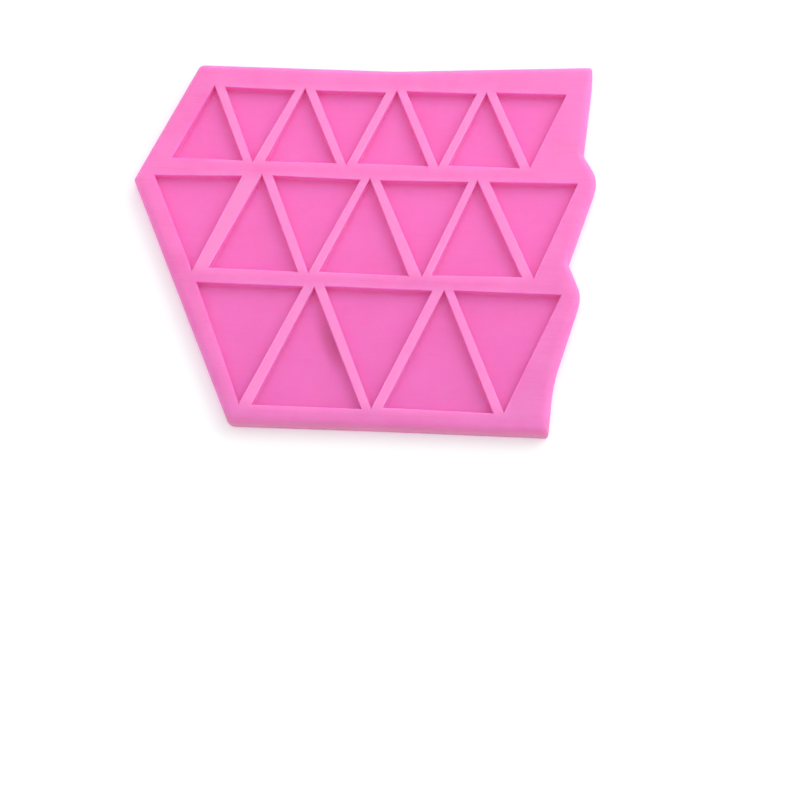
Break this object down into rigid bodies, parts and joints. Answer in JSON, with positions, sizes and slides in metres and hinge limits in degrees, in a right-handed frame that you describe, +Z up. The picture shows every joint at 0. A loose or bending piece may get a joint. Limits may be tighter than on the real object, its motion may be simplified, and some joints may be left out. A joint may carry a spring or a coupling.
{
  "type": "resin casting mould",
  "caption": "Flexible silicone casting mould: a flat sheet with rows of open triangular cavities in graded sizes, thin ribs between them and a rolled outer edge.",
  "frame": {"origin": "middle of the underside's bounding box, on the surface that the mould lies on", "axes": "+X along the rows of cavities towards the waved edge, +Y from the large pennants to the small pennants, +Z up out of the cavities"},
  "size_m": [0.1426, 0.1228, 0.005],
  "materials": {
    "silicone": "satin"
  },
  "bodies": {
    "root": {"base_sheet": "silicone", "back_rim": "silicone", "front_rim": "silicone", "back_bar": "silicone", "front_bar": "silicone", "small_left_rim": "silicone", "medium_left_rim": "silicone", "large_left_rim": "silicone", "small_right_rim": "silicone", "medium_right_rim": "silicone", "large_right_rim": "silicone", "small_rib_1": "silicone", "small_rib_2": "silicone", "small_rib_3": "silicone", "small_rib_4": "silicone", "small_rib_5": "silicone", "small_rib_6": "silicone", "small_rib_7": "silicone", "medium_rib_1": "silicone", "medium_rib_2": "silicone", "medium_rib_3": "silicone", "medium_rib_4": "silicone", "medium_rib_5": "silicone", "medium_rib_6": "silicone", "large_rib_1": "silicone", "large_rib_2": "silicone", "large_rib_3": "silicone", "large_rib_4": "silicone"}
  },
  "joints": []
}
